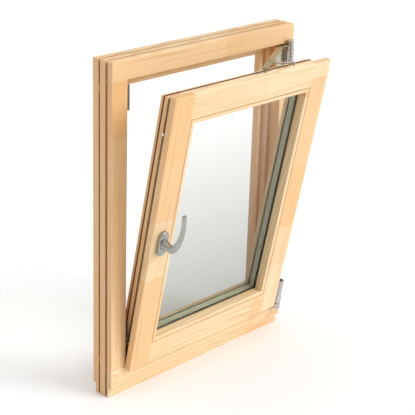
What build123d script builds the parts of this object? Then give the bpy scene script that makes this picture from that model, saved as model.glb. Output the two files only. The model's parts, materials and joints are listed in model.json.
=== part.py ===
from build123d import *
import math
import os

os.makedirs("parts", exist_ok=True)

# A timber tilt-and-turn window, millimetres. +Z up, +Y towards the weather side, +X towards the hinges.
# The origin is the middle of the frame's underside. It is drawn with the sash tilted in at the top.

# ---- outer frame ----
frame_width = 660.0
frame_height = 890.0
frame_depth = 68.0
frame_face = 50.0          # width of the room-side face of the stiles and the top rail
sill_face = 78.0           # height of the room-side face of the bottom rail
step_reach = 14.0          # how far the middle step passes the face edge into the opening
step_start = 34.0          # depth at which the middle step begins
stop_reach = 30.0          # how far the weather-side stop passes the face edge
stop_start = 48.0          # depth at which the stop begins
frame_rounding = 2.0
wall_groove_depth = 7.0    # the two grooves that run round the outside of the frame
front_groove = (16.5, 24.5)
back_groove = (43.0, 48.5)
sill_front_rebate = (11.3, 28.0)   # depth, height
sill_back_rebate = (10.0, 26.0)

# ---- sash ----
lip_overlap = 5.0          # sash lip over the frame face
lip_gap = 4.0              # clear gap between lip and frame face
lip_thick = 18.0
lip_reach = 18.0           # lip beyond the sash body
sash_depth = 68.0
sash_step_start = 52.0     # depth in the sash where its edge steps in
sash_step = 3.0
stile_face = 65.0          # sash face from its edge to the glazing bead
bead_width = 13.0
bead_depth = 24.0
glass_lip = 14.0           # weather-side wall of the glazing rebate
sash_rounding = 3.0
bead_rounding = 3.0
bead_groove = (2.4, 3.0)    # shadow groove between bead and sash: width, depth

# ---- glazing ----
pane_thick = 4.0
pane_gap = 16.0
glass_clearance = 4.0      # glass edge to the glazing rebate
seal_width = 5.0
spacer_height = 7.0
spacer_wall = 1.2
outer_seal_reach = 4.0     # weather-side glazing seal, past the sight line

# ---- tilt and turn hardware ----
tilt_angle = 11.0
axis_offset = 12.5         # turn axis in front of the frame face
axis_inset = 27.0          # turn axis from the frame's hinge-side edge
tilt_height = 84.0         # tilt axis above the underside
hardware_line = 33.0       # middle of the hardware groove, from the sash front
plate_width = 16.0
plate_thick = 2.0
groove_width = 12.0
groove_depth = 12.0
rod_width = 9.0
rod_thick = 2.4
rod_gap = 0.4
rod_travel = 18.0          # rod movement per quarter turn of the handle
cam_radius = 4.0
cam_reach = 8.0
slot_clearance = 0.5
running = 0.05             # radial clearance of pins and shafts
apart = 0.4                # clearance between moving pieces that don't touch
cap_radius = 10.5
barrel_radius = 7.5
pin_radius = 3.0
cap_clearance = 0.3
upper_cap_radius = 9.4      # the slimmer caps on the arm's knuckle and the band's barrel
seam = 1.4                  # dark gap between one cap and the next

# ---- handle ----
handle_height = 379.0      # handle axis above the sash's lower edge
handle_backset = 34.0      # handle axis from the sash's edge
rosette_length = 68.0
rosette_width = 30.0
rosette_thick = 10.0
rosette_screw_pitch = 43.0
neck_radius = 9.5
neck_base_radius = 13.4
neck_taper = 19.0          # length over which the neck's foot widens
neck_gap = 0.4             # shadow gap between the neck's foot and the rosette
neck_reach = 37.5           # sash face to the outside of the lever's bend
spindle_side = 7.0
lever_width = 13.0
ring_from_rosette = 1.8    # decorative ring turned in the neck
ring_size = 1.2            # its width and depth

# ---- derived places ----
room_face = -frame_depth / 2
half_w = frame_width / 2
open_x = half_w - frame_face
open_z0 = sill_face
open_z1 = frame_height - frame_face
sash_x = open_x + lip_overlap
sash_z0 = open_z0 - lip_overlap
sash_z1 = open_z1 + lip_overlap
sash_front = room_face - lip_gap - lip_thick
body_x = sash_x - lip_reach
body_z0 = sash_z0 + lip_reach
body_z1 = sash_z1 - lip_reach
rebate_x = sash_x - stile_face
rebate_z0 = sash_z0 + stile_face
rebate_z1 = sash_z1 - stile_face
sight_x = rebate_x - bead_width
sight_z0 = rebate_z0 + bead_width
sight_z1 = rebate_z1 - bead_width
axis_x = half_w - axis_inset
axis_y = room_face - axis_offset
line_y = sash_front + hardware_line
handle_x = -(sash_x - handle_backset)
handle_z = sash_z0 + handle_height
glass_front = sash_front + bead_depth + 3.0
unit_thick = 2 * pane_thick + pane_gap
glass_back = glass_front + unit_thick
rebate_back = sash_front + sash_depth - glass_lip
tilt_axis = Axis((0, axis_y, tilt_height), (1, 0, 0))
turn_axis = Axis((axis_x, axis_y, 0), (0, 0, 1))


def block(x0, x1, y0, y1, z0, z1):
    """A box between two corners."""
    return Pos((x0 + x1) / 2, (y0 + y1) / 2, (z0 + z1) / 2) * Box(abs(x1 - x0), abs(y1 - y0), abs(z1 - z0))


def rod_z(x, y, z0, z1, radius):
    """A round bar along Z."""
    return Pos(x, y, (z0 + z1) / 2) * Cylinder(radius, z1 - z0)


def rod_x(x0, x1, y, z, radius):
    """A round bar along X."""
    return Pos((x0 + x1) / 2, y, z) * Rot(0, 90, 0) * Cylinder(radius, x1 - x0)


def rod_y(x, y0, y1, z, radius):
    """A round bar along Y."""
    return Pos(x, (y0 + y1) / 2, z) * Rot(90, 0, 0) * Cylinder(radius, y1 - y0)


def ring(outer, inner, y0, y1):
    """A rectangular ring: outer and inner are (half width, low z, high z)."""
    solid = block(-outer[0], outer[0], y0, y1, outer[1], outer[2])
    return solid - block(-inner[0], inner[0], y0 - 1, y1 + 1, inner[1], inner[2])


def grown(size, by):
    """A ring size with every side moved out by a distance."""
    return (size[0] + by, size[1] - by, size[2] + by)


def wood_screw(size, recess=True):
    """A countersunk screw driven along -Z, its head flush at the origin."""
    radius, length, head_radius, head_height = size
    shape = Pos(0, 0, -head_height / 2) * Cone(radius, head_radius, head_height)
    shape += rod_z(0, 0, -length, -head_height, radius)
    if recess:
        shape -= Box(head_radius * 1.1, 0.9, 1.4)
        shape -= Box(0.9, head_radius * 1.1, 1.4)
    return shape


drive_back = Rot(90, 0, 0)       # driven along +Y
drive_left = Rot(0, 90, 0)       # driven along -X
drive_right = Rot(0, -90, 0)     # driven along +X
drive_up = Rot(180, 0, 0)        # driven along +Z
drive_down = Rot(0, 0, 0)        # driven along -Z


def screws(size, places, recess=True):
    """One screw at each (x, y, z, turn)."""
    return [Pos(x, y, z) * turn * wood_screw(size, recess) for x, y, z, turn in places]


def drilled(shape, size, places):
    """A shape with the holes that its screws fill."""
    for item in screws(size, places, False):
        shape = shape - item
    return shape


def tilted(shape):
    """A closed sash piece, swung to the drawn tilt."""
    return shape.rotate(tilt_axis, tilt_angle)


def save(name, shape):
    """Write one node."""
    export_step(shape, f"parts/{name}.step")


# ---- stay geometry: the arm swings as the sash tilts ----
stay_reach = 268.0         # turn axis to the sliding stud at the arm's end
link_from_end = 78.0       # sliding stud to the link's pivot on the arm
stay_width = 16.0
stay_thick = 3.0
stay_z = open_z1 - 3.0 - stay_thick
link_thick = 2.4
link_z = stay_z - apart - link_thick
link_width = 11.0
stud_radius = 2.0
guide_z = body_z1
closed_offset = line_y - axis_y
end_x_closed = axis_x - math.sqrt(stay_reach ** 2 - closed_offset ** 2)
tilt_rad = math.radians(tilt_angle)
guide_rise = guide_z - tilt_height
rest_offset = closed_offset * math.cos(tilt_rad) - guide_rise * math.sin(tilt_rad)
end_x_rest = axis_x - math.sqrt(stay_reach ** 2 - rest_offset ** 2)
stay_swing = math.degrees(math.asin(closed_offset / stay_reach) - math.asin(rest_offset / stay_reach))
swing_rad = math.radians(stay_swing)
link_side = link_from_end * math.sin(swing_rad)
link_slack = end_x_rest - end_x_closed - link_from_end * (1 - math.cos(swing_rad))
link_length = (link_side ** 2 + link_slack ** 2) / (2 * link_slack)
link_turn = stay_swing + math.degrees(math.asin(link_side / link_length))
link_pivot_x = end_x_closed + link_from_end
link_foot_x = link_pivot_x + link_length
stud_low = tilt_height + closed_offset * math.sin(tilt_rad) + guide_rise * math.cos(tilt_rad) - plate_thick


def swung(shape):
    """A closed stay piece, swung out with the tilted sash."""
    return shape.rotate(turn_axis, stay_swing)


# ================= outer frame =================

def frame_ring():
    """The whole frame as one ring, before it is parted into its members."""
    outer = (half_w, 0, frame_height)
    opening = (open_x, open_z0, open_z1)
    depths = [room_face, room_face + step_start, room_face + stop_start, frame_depth / 2]
    front = ring(outer, opening, depths[0], depths[1])
    front = fillet(front.edges().filter_by_position(Axis.Y, room_face, room_face), frame_rounding)
    middle = ring(outer, grown(opening, -step_reach), depths[1], depths[2])
    stop = ring(outer, grown(opening, -stop_reach), depths[2], depths[3])
    inner_edges = [e for e in stop.edges().filter_by_position(Axis.Y, depths[2], depths[3], (True, True))
                   if abs(e.center().X) < open_x and open_z0 < e.center().Z < open_z1]
    long_edges = [e for e in inner_edges if abs(e.tangent_at(0.5).Y) < 0.5]
    stop = fillet(long_edges, frame_rounding)
    whole = front + middle + stop
    for low, high in (front_groove, back_groove):
        y0 = room_face + low
        y1 = room_face + high
        groove = block(-half_w - 1, half_w + 1, y0, y1, -1, frame_height + 1)
        groove -= block(-half_w + wall_groove_depth, half_w - wall_groove_depth, y0 - 1, y1 + 1,
                        -2, frame_height - wall_groove_depth)
        whole -= groove
    depth, height = sill_front_rebate
    whole -= block(-half_w - 1, half_w + 1, room_face - 1, room_face + depth, -1, height)
    depth, height = sill_back_rebate
    whole -= block(-half_w - 1, half_w + 1, frame_depth / 2 - depth, frame_depth / 2 + 1, -1, height)
    return whole


def rail_zone(z_face, outward, beyond):
    """The region that belongs to a frame rail: its face, its step and its stop, at full width."""
    zone = None
    for depth, reach in ((-5.0, 0.0), (step_start, step_reach), (stop_start, stop_reach)):
        z_edge = z_face - outward * reach
        piece = block(-half_w - 5, half_w + 5, room_face + depth, frame_depth / 2 + 5, z_edge, beyond)
        zone = piece if zone is None else zone + piece
    return zone


stay_plate = (27.0, 50.0, 3.0, 16.0)     # width, height, thickness, leg into the rebate
stay_plate_z1 = stay_z - 8.0
corner_plate = (32.0, 46.0, 3.0)         # width, height, thickness
corner_plate_z0 = 62.0


def stay_plate_shape():
    """The angle plate let into the corner of the hinge stile, under the top rail."""
    width, height, thick, leg = stay_plate
    z0 = stay_plate_z1 - height
    shape = block(open_x, open_x + width + 8, room_face, room_face + thick, z0, stay_plate_z1)
    return shape + block(open_x, open_x + thick, room_face, room_face + leg, z0, stay_plate_z1)


def corner_plate_shape():
    """The flat plate of the lower hinge, let into the frame face."""
    width, height, thick = corner_plate
    return block(axis_x - width / 2, axis_x + width / 2, room_face, room_face + thick,
                 corner_plate_z0, corner_plate_z0 + height)


stay_screws = [(axis_x - 14.0, room_face, stay_plate_z1 - 10.0, drive_back),
               (axis_x - 14.0, room_face, stay_plate_z1 - stay_plate[1] + 10.0, drive_back)]
corner_screws = [(axis_x - 11.0, room_face, corner_plate_z0 + 36.0, drive_back),
                 (axis_x + 11.0, room_face, corner_plate_z0 + 36.0, drive_back)]
hinge_screw = (2.0, 32.0, 3.8, 2.4)      # radius, length, head radius, head height
small_screw = (1.6, 22.0, 3.0, 1.6)


def stay_pocket():
    """The pocket in the hinge stile that the stay arm's crank turns in."""
    return block(open_x - 1, axis_x + 2, room_face - 1, line_y + stay_width / 2 + 6, link_z - 1, open_z1)


def frame_members():
    """Two rails at full width, with two stiles between them."""
    whole = frame_ring()
    top_zone = rail_zone(open_z1, 1, frame_height + 5)
    bottom_zone = rail_zone(open_z0, -1, -5)
    top = whole & top_zone
    bottom = whole & bottom_zone
    stiles = whole - top_zone - bottom_zone
    left = stiles & block(-half_w - 5, 0, -frame_depth, frame_depth, 0, frame_height)
    right = stiles & block(0, half_w + 5, -frame_depth, frame_depth, 0, frame_height)
    right = right - stay_plate_shape() - corner_plate_shape() - stay_pocket()
    right = drilled(right, hinge_screw, stay_screws + corner_screws)
    left = drilled(left, small_screw, side_striker_screws())
    bottom = drilled(bottom - corner_plate_shape(), small_screw, tilt_bearing_screws())
    return {"frame_top_rail": top, "frame_bottom_rail": bottom,
            "frame_left_stile": left, "frame_right_stile": right}


def drip_rail():
    """The aluminium water bar on the weather side of the bottom rail's stop."""
    y0 = frame_depth / 2
    z0 = open_z0 + stop_reach - 22.0
    length = open_x - stop_reach - 1.0
    profile = Polyline((y0, z0), (y0 + 1.6, z0), (y0 + 1.6, z0 + 8.0), (y0 + 12.0, z0 + 4.0),
                       (y0 + 12.0, z0 + 2.0), (y0 + 13.4, z0 + 2.0), (y0 + 13.4, z0 + 5.2),
                       (y0 + 1.6, z0 + 9.8), (y0 + 1.6, z0 + 18.0), (y0, z0 + 18.0), close=True)
    face = make_face(Plane.YZ * profile)
    return Pos(-length, 0, 0) * extrude(face, amount=2 * length, dir=(1, 0, 0))


# ================= strikers on the frame =================

striker_base = 2.0
striker_reach = 9.0
side_cams = [open_z1 - 101.0, open_z0 + 58.0]      # cam heights at the drawn handle position, sash closed
striker_heights = [77.0, 44.0]
bottom_cam_x = -200.0
striker_ahead = 10.0       # first edge of a keeper beyond its cam
rod_full = 2 * rod_travel


def side_striker(cam_z, height):
    """A keeper on the handle-side rebate: a base, a rib the cam draws behind, and an end stop."""
    z0 = cam_z + striker_ahead
    z1 = z0 + height
    x0 = -open_x
    shape = block(x0, x0 + striker_base, line_y - 8, line_y + 8, z0, z1)
    keeper_z = cam_z + rod_travel + cam_radius + 2.0
    shape += block(x0, x0 + striker_reach, line_y - 8, line_y - cam_radius - apart, keeper_z, z1)
    shape += block(x0, x0 + striker_reach, line_y - 8, line_y + 8, z1 - 3, z1)
    return drilled(shape, small_screw, side_striker_screws())


def tilt_bearing():
    """The plate that carries the sash's handle-side lower corner while it is tilted."""
    x0 = bottom_cam_x - rod_full - 16.0
    x1 = bottom_cam_x + 16.0
    z0 = open_z0
    shape = block(x0, x1, line_y - 8, line_y + 8, z0, z0 + striker_base)
    for x_low in (x0, x1 - 4):
        shape += block(x_low, x_low + 4, line_y - 8, line_y + 8, z0, z0 + 4.5)
    return drilled(shape, small_screw, tilt_bearing_screws())


def side_striker_screws():
    """Screws through the bases of the two side keepers."""
    x = -open_x + striker_base
    return [(x, line_y + 1.5, cam_z + striker_ahead + dz, drive_left)
            for cam_z, height in zip(side_cams, striker_heights) for dz in (6.0, height - 10.0)]


def tilt_bearing_screws():
    """Screws through the tilt bearing's plate."""
    middle = bottom_cam_x - rod_travel
    return [(middle + dx, line_y, open_z0 + striker_base, drive_down) for dx in (-24.0, 24.0)]


# ================= sash timber =================

def sash_ring():
    """The whole sash as one ring, closed, before it is parted into its members."""
    outer = (sash_x, sash_z0, sash_z1)
    body = (body_x, body_z0, body_z1)
    rebate = (rebate_x, rebate_z0, rebate_z1)
    lip_back = sash_front + lip_thick
    lip = ring(outer, rebate, sash_front, lip_back)
    outside = [e for e in lip.edges().filter_by_position(Axis.Y, sash_front, sash_front)
               if abs(e.center().X) > sash_x - 1 or not sash_z0 + 1 < e.center().Z < sash_z1 - 1]
    lip = fillet(outside, sash_rounding)
    step_y = sash_front + sash_step_start
    back_y = sash_front + sash_depth
    core = ring(body, rebate, lip_back, step_y)
    back = ring(grown(body, -sash_step), rebate, step_y, rebate_back)
    wall = ring(grown(body, -sash_step), (sight_x, sight_z0, sight_z1), rebate_back, back_y)
    wall_edges = [e for e in wall.edges().filter_by_position(Axis.Y, back_y, back_y)]
    wall = fillet(wall_edges, frame_rounding)
    whole = lip + core + back + wall
    return whole - hardware_grooves()


def hardware_grooves():
    """The stepped groove for face plates and rods, on the handle side, the top and the bottom."""
    cuts = None
    for half, deep in ((plate_width / 2, plate_thick), (groove_width / 2, groove_depth)):
        y0 = line_y - half
        y1 = line_y + half
        side = block(-body_x - 1, -body_x + deep, y0, y1, body_z0, body_z1)
        top = block(-body_x, body_x, y0, y1, body_z1 - deep, body_z1 + 1)
        bottom = block(-body_x, body_x, y0, y1, body_z0 - 1, body_z0 + deep)
        piece = side + top + bottom
        cuts = piece if cuts is None else cuts + piece
    return cuts


case_width = 14.0
case_height = 96.0
case_depth = 34.0
handle_bore = 7.0


def gearbox_outline():
    """The space of the gearbox in the handle stile."""
    x0 = handle_x - pitch_radius + tooth_high + apart
    return block(x0, -body_x + plate_thick + case_depth, line_y - case_width / 2, line_y + case_width / 2,
                 handle_z - case_height / 2, handle_z + case_height / 2)


def handle_bores(z_list, radius, y0, y1):
    """Bores along Y on the handle's centre line."""
    return [rod_y(handle_x, y0, y1, z, radius) for z in z_list]


def sash_members():
    """Two stiles at full height, with two rails between them."""
    whole = sash_ring()
    reach = sash_x + 5
    front_zone = [block(-reach, -rebate_x, -100, rebate_back, 0, frame_height),
                  block(-reach, -sight_x, rebate_back, 100, 0, frame_height)]
    left_zone = front_zone[0] + front_zone[1]
    right_zone = mirror(left_zone, about=Plane.YZ)
    left = whole & left_zone
    right = whole & right_zone
    rails = whole - left_zone - right_zone
    middle = (sash_z0 + sash_z1) / 2
    top = rails & block(-reach, reach, -100, 100, middle, frame_height)
    bottom = rails & block(-reach, reach, -100, 100, 0, middle)
    left = left - gearbox_outline()
    for bore in handle_bores([handle_z], handle_bore, sash_front - 1, line_y):
        left = left - bore
    for bore in handle_bores(screw_heights, handle_screw_radius, sash_front - 1, line_y):
        left = left - bore
    right = drilled(right, band_screw, corner_band_screws())
    left = drilled(left, small_screw, side_plate_screws())
    top = drilled(top, small_screw, top_plate_screws())
    bottom = drilled(bottom, small_screw, bottom_plate_screws())
    right = drilled(right, small_screw, top_plate_screws() + bottom_plate_screws())
    return {"sash_left_stile": left, "sash_right_stile": right,
            "sash_top_rail": top, "sash_bottom_rail": bottom}


def glazing_beads():
    """Four mitred beads that hold the glass from the room side."""
    size = (rebate_x, rebate_z0, rebate_z1)
    groove_wide, groove_high = bead_groove
    beads = ring(size, grown(size, -bead_width), sash_front, sash_front + bead_depth)
    beads -= ring(grown(size, 1.0), grown(size, -groove_wide), sash_front - 1, sash_front + groove_high)
    sight_edges = [e for e in beads.edges().filter_by_position(Axis.Y, sash_front, sash_front)
                   if abs(e.center().X) < rebate_x - 5 and rebate_z0 + 5 < e.center().Z < rebate_z1 - 5]
    beads = fillet(sight_edges, bead_rounding)
    half = (rebate_z1 - rebate_z0) / 2
    middle = (rebate_z1 + rebate_z0) / 2
    reach = rebate_x + 1
    depth = 200.0
    y_mid = sash_front + depth / 2 - 10
    mitre = rebate_x
    side = Polyline((-rebate_x, middle - half), (-rebate_x, middle + half), (-rebate_x + mitre, middle + half - mitre),
                    (-rebate_x + mitre, middle - half + mitre), close=True)
    zone = Pos(0, sash_front - 10, 0) * extrude(make_face(Plane.XZ * side), amount=depth, dir=(0, 1, 0))
    left = beads & zone
    right = beads & mirror(zone, about=Plane.YZ)
    rest = beads - zone - mirror(zone, about=Plane.YZ)
    top = rest & block(-reach, reach, y_mid - depth, y_mid + depth, middle, frame_height)
    bottom = rest & block(-reach, reach, y_mid - depth, y_mid + depth, 0, middle)
    return {"bead_left": left, "bead_right": right, "bead_top": top, "bead_bottom": bottom}


# ================= glazing =================

def glazing():
    """Two panes, their spacer, edge seal, gaskets and setting blocks."""
    unit = (rebate_x - glass_clearance, rebate_z0 + glass_clearance, rebate_z1 - glass_clearance)
    gap_front = glass_front + pane_thick
    gap_back = gap_front + pane_gap
    pieces = {}
    pieces["inner_pane"] = block(-unit[0], unit[0], glass_front, gap_front, unit[1], unit[2])
    pieces["outer_pane"] = block(-unit[0], unit[0], gap_back, glass_back, unit[1], unit[2])
    spacer = grown(unit, -seal_width)
    pieces["edge_seal"] = ring(unit, spacer, gap_front, gap_back)
    bar = ring(spacer, grown(spacer, -spacer_height), gap_front, gap_back)
    hollow = ring(grown(spacer, -spacer_wall), grown(spacer, spacer_wall - spacer_height),
                  gap_front + spacer_wall, gap_back - spacer_wall)
    pieces["spacer_bar"] = bar - hollow
    seat = (sight_x, sight_z0, sight_z1)
    gasket = grown(seat, 6.0)
    pieces["inner_gasket"] = ring(gasket, grown(seat, -0.5), sash_front + bead_depth, glass_front)
    pieces["outer_gasket"] = ring(gasket, grown(seat, -outer_seal_reach), glass_back, rebate_back)
    blocks = []
    for x in (-unit[0] + 60, unit[0] - 60):
        blocks.append(block(x - 40, x + 40, glass_front, glass_back, rebate_z0, unit[1]))
        blocks.append(block(x - 40, x + 40, glass_front, glass_back, unit[2], rebate_z1))
    pieces["setting_blocks"] = Compound(blocks)
    return pieces


def weather_gasket():
    """The seal round the sash's step, with a thin lip that meets the frame."""
    body = (body_x, body_z0, body_z1)
    inner = grown(body, -sash_step)
    y0 = sash_front + sash_step_start
    y1 = room_face + step_start - 0.3
    base = ring(body, inner, y0, y1 - 1.5)
    lip = ring(grown(body, 1.2), inner, y1 - 1.5, y1)
    return base + lip


# ================= face plates, rods and gearbox =================

corner_leg = 22.0
slot_half = cam_radius + slot_clearance
plate_screw_inset = 150.0
screw_slot_half = 2.2


def cam_slots_side():
    """Slots in the side plate for the cams."""
    cuts = None
    for cam_z in side_cams:
        piece = block(-body_x - 1, -body_x + plate_thick + 1, line_y - slot_half, line_y + slot_half,
                      cam_z - slot_half, cam_z + rod_full + slot_half)
        cuts = piece if cuts is None else cuts + piece
    return cuts


def side_plate():
    """The face plate on the handle side."""
    plate = block(-body_x, -body_x + plate_thick, line_y - plate_width / 2, line_y + plate_width / 2,
                  body_z0 + corner_leg, body_z1 - corner_leg)
    return drilled(plate - cam_slots_side(), small_screw, side_plate_screws())


def side_plate_screws():
    """Screws of the side face plate, through the slots in the rod."""
    return [(-body_x, line_y, z, drive_right) for z in (body_z0 + plate_screw_inset, body_z1 - plate_screw_inset)]


def top_plate_screws():
    """Screws of the top face plate, on the hinge side of the stay."""
    return [(x, line_y, body_z1, drive_down) for x in (link_foot_x + 30.0, body_x - 12.0)]


def bottom_plate_screws():
    """Screws of the bottom face plate, on the hinge side of the rod."""
    return [(x, line_y, body_z0, drive_up) for x in (110.0, body_x - 12.0)]


def top_plate():
    """The top face plate, which is also the guide rail of the stay."""
    plate = block(-body_x + corner_leg, body_x, line_y - plate_width / 2, line_y + plate_width / 2,
                  body_z1 - plate_thick, body_z1)
    half = groove_width / 2 - 0.5
    slots = block(end_x_closed - 6, end_x_rest + 7, line_y - half, line_y + half, body_z1 - 3, body_z1 + 1)
    slots += block(link_foot_x - 10, link_foot_x + 8, line_y - half, line_y + half, body_z1 - 3, body_z1 + 1)
    return drilled(plate - slots, small_screw, top_plate_screws())


def bottom_plate():
    """The bottom face plate."""
    plate = block(-body_x + corner_leg, body_x, line_y - plate_width / 2, line_y + plate_width / 2,
                  body_z0, body_z0 + plate_thick)
    slots = block(bottom_cam_x - rod_full - slot_half, bottom_cam_x + slot_half, line_y - slot_half,
                  line_y + slot_half, body_z0 - 1, body_z0 + 3)
    return drilled(plate - slots, small_screw, bottom_plate_screws())


def corner_drive(top):
    """An L-shaped face plate with the guide that leads the rods round the corner."""
    y0 = line_y - plate_width / 2
    y1 = line_y + plate_width / 2
    edge = body_z1 if top else body_z0
    inward = -1 if top else 1
    x0 = -body_x
    leg = block(x0, x0 + plate_thick, y0, y1, min(edge, edge + inward * corner_leg),
                max(edge, edge + inward * corner_leg))
    flat = block(x0, x0 + corner_leg, y0, y1, min(edge, edge + inward * plate_thick),
                 max(edge, edge + inward * plate_thick))
    half = groove_width / 2 - 0.2
    guide_size = 12.0
    guide = block(x0 + plate_thick, x0 + guide_size, line_y - half, line_y + half,
                  min(edge + inward * plate_thick, edge + inward * guide_size),
                  max(edge + inward * plate_thick, edge + inward * guide_size))
    return leg + flat + guide


rod_x0 = -body_x + plate_thick + rod_gap
rod_x1 = rod_x0 + rod_thick
pitch_radius = 2 * rod_travel / math.pi
tooth_count = 16
tooth_pitch = 2 * math.pi * pitch_radius / tooth_count
tooth_high = 1.0
tooth_deep = 1.3
pinion_wide = 8.0


def tooth(root, tip, root_half, tip_half):
    """One straight-sided tooth pointing along +X of its own plane."""
    return Polyline((root, -root_half), (tip, -tip_half), (tip, tip_half), (root, root_half), close=True)


def drive_pinion():
    """The pinion the spindle turns, with hubs that run in the gearbox case."""
    root = pitch_radius - tooth_deep
    body = Cylinder(root, pinion_wide)
    outline = tooth(root - 0.6, pitch_radius + tooth_high, 0.30 * tooth_pitch, 0.11 * tooth_pitch)
    one = extrude(make_face(outline), amount=pinion_wide / 2, both=True)
    for i in range(tooth_count):
        body += Rot(0, 0, 360.0 * (i + 0.5) / tooth_count) * one
    hub = Cylinder(handle_bore - 0.5, case_width - 0.2)
    square = Box(spindle_side + 0.1, spindle_side + 0.1, case_width + 2)
    shape = body + hub - square
    return Pos(handle_x, line_y, handle_z) * Rot(90, 0, 0) * shape


def gearbox_case():
    """The gearbox shell: open towards the rod, with round bearings for the pinion's hubs."""
    outline = gearbox_outline()
    x_open = -body_x
    inside = block(x_open, handle_x + pitch_radius + tooth_high + 1.2,
                   line_y - pinion_wide / 2 - apart, line_y + pinion_wide / 2 + apart,
                   handle_z - pitch_radius - tooth_high - 1.2, handle_z + pitch_radius + tooth_high + 1.2)
    hub_hole = rod_y(handle_x, line_y - case_width, line_y + case_width, handle_z,
                     handle_bore - 0.5 + running)
    shape = outline - inside - hub_hole
    for z in screw_heights:
        shape -= rod_y(handle_x, line_y - case_width, line_y + case_width / 2 - 1, z, handle_screw_radius)
    return shape


def side_rod():
    """The drive rod on the handle side: a flat strip with a rack, and two cams."""
    z0 = side_cams[1] - 6
    z1 = side_cams[0] + 8
    y0 = line_y - rod_width / 2
    y1 = line_y + rod_width / 2
    strip = block(rod_x0, rod_x1, y0, y1, z0, z1)
    rack_x = handle_x - pitch_radius
    root_x = rack_x - tooth_deep
    low = handle_z - rod_full - 9
    high = handle_z + 9
    strip -= block(root_x, rod_x1 + 1, y0 - 1, y1 + 1, low, high)
    outline = tooth(root_x - 0.4, rack_x + tooth_high, 0.30 * tooth_pitch, 0.13 * tooth_pitch)
    one = extrude(make_face(Plane.XZ * outline), amount=pinion_wide / 2 - 0.3, both=True)
    count = int((high - low) / tooth_pitch)
    for i in range(count):
        z = handle_z - tooth_pitch * (count - 3 - i)
        if low + 2 < z < high - 2:
            strip += Pos(0, line_y, z) * one
    for *_, z, _ in side_plate_screws():
        strip -= block(rod_x0 - 1, rod_x1 + 1, line_y - screw_slot_half, line_y + screw_slot_half,
                       z - rod_full - screw_slot_half, z + screw_slot_half)
    for cam_z in side_cams:
        strip += rod_x(-body_x - cam_reach, rod_x0 + 0.5, line_y, cam_z, cam_radius)
    return strip


def top_rod():
    """The drive rod in the top edge; its free end locks the stay's stud in the guide rail."""
    z1 = body_z1 - plate_thick - rod_gap
    return block(-body_x + 18, end_x_closed - rod_full - 8, line_y - rod_width / 2, line_y + rod_width / 2,
                 z1 - rod_thick, z1)


def bottom_rod():
    """The drive rod in the bottom edge, with the tilt cam."""
    z0 = body_z0 + plate_thick + rod_gap
    strip = block(bottom_cam_x - 8, 60, line_y - rod_width / 2, line_y + rod_width / 2, z0, z0 + rod_thick)
    return strip + rod_z(bottom_cam_x, line_y, body_z0 - cam_reach, z0 + 0.5, cam_radius)


# ================= hinges =================

cap_rounding = 1.0


def stay_bearing():
    """The frame-side upper hinge: angle plate, web and barrel."""
    z1 = stay_plate_z1
    z0 = z1 - stay_plate[1]
    shape = stay_plate_shape()
    shape += rod_z(axis_x, axis_y, z0, z1, barrel_radius)
    shape += block(axis_x - 5, axis_x + 5, axis_y, room_face, z0, z1)
    shape -= rod_z(axis_x, axis_y, z0 + 6, z1 + 1, pin_radius + running)
    return drilled(shape, hinge_screw, stay_screws)


def split_cap(z0, z1, radius, web_half, closed_top, closed_bottom):
    """A barrel cover, open at the back for the web."""
    wall_in = barrel_radius + cap_clearance
    shape = rod_z(axis_x, axis_y, z0, z1, radius)
    shape = fillet(shape.edges(), cap_rounding)
    low = z0 + (1.2 if closed_bottom else -1.0)
    high = z1 - (1.2 if closed_top else -1.0)
    shape -= rod_z(axis_x, axis_y, low, high, wall_in)
    if web_half > 0:
        shape -= block(axis_x - web_half, axis_x + web_half, axis_y, room_face, z0 - 1, z1 + 1)
    return shape


def stay_cover():
    """The cover over the upper frame-side barrel."""
    z0 = stay_plate_z1 - stay_plate[1]
    return split_cap(z0 - 1.5, stay_plate_z1 - seam, cap_radius, 5.3, False, True)


knuckle_z0 = stay_plate_z1 + apart
knuckle_z1 = stay_plate_z1 + 25.0


def stay_pin():
    """The upper turn pin: it stands in the frame-side barrel and carries the arm's knuckle."""
    z0 = stay_plate_z1 - stay_plate[1] + 6.4
    return rod_z(axis_x, axis_y, z0, knuckle_z1 - 3, pin_radius)


def stay_arm():
    """The cranked arm with its knuckle, drawn swung out."""
    y0 = line_y - stay_width / 2
    y1 = line_y + stay_width / 2
    crank_x = sash_x + 2.0
    body = block(end_x_closed, crank_x, y0, y1, stay_z, stay_z + stay_thick)
    body += Pos(end_x_closed, line_y, stay_z + stay_thick / 2) * Cylinder(stay_width / 2, stay_thick)
    crank = Polyline((crank_x, y0), (axis_x - 6.0, axis_y + 4.0), (axis_x + 2.0, axis_y + 4.0),
                     (axis_x - 1.0, y1 - 6.0), (axis_x - 5.0, y1), (crank_x, y1), close=True)
    body += Pos(0, 0, stay_z) * extrude(make_face(crank), amount=stay_thick, dir=(0, 0, 1))
    body += rod_z(axis_x, axis_y, knuckle_z0, knuckle_z1 - 2, barrel_radius)
    body -= rod_z(axis_x, axis_y, knuckle_z0 - 1, knuckle_z1 - 2.6, pin_radius + running)
    body -= rod_z(end_x_closed, line_y, stay_z - 1, stay_z + stay_thick + 1, stud_radius)
    body -= rod_z(link_pivot_x, line_y, stay_z - 1, stay_z + stay_thick + 1, stud_radius)
    return body


def stay_arm_cap():
    """The cover over the arm's knuckle, slit where the arm leaves it."""
    shape = split_cap(knuckle_z0, knuckle_z1, upper_cap_radius, 0, True, False)
    return shape - block(axis_x - 12, axis_x + 12, axis_y, room_face + 5, stay_z - 0.3, stay_z + stay_thick + 0.3)


def stay_stud():
    """The sliding stud riveted in the arm's end; it runs in the sash's guide rail."""
    head = Pos(end_x_closed, line_y, stay_z + stay_thick + 0.6) * Cylinder(4.0, 1.2)
    return rod_z(end_x_closed, line_y, stud_low, stay_z + stay_thick, stud_radius) + head


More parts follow.
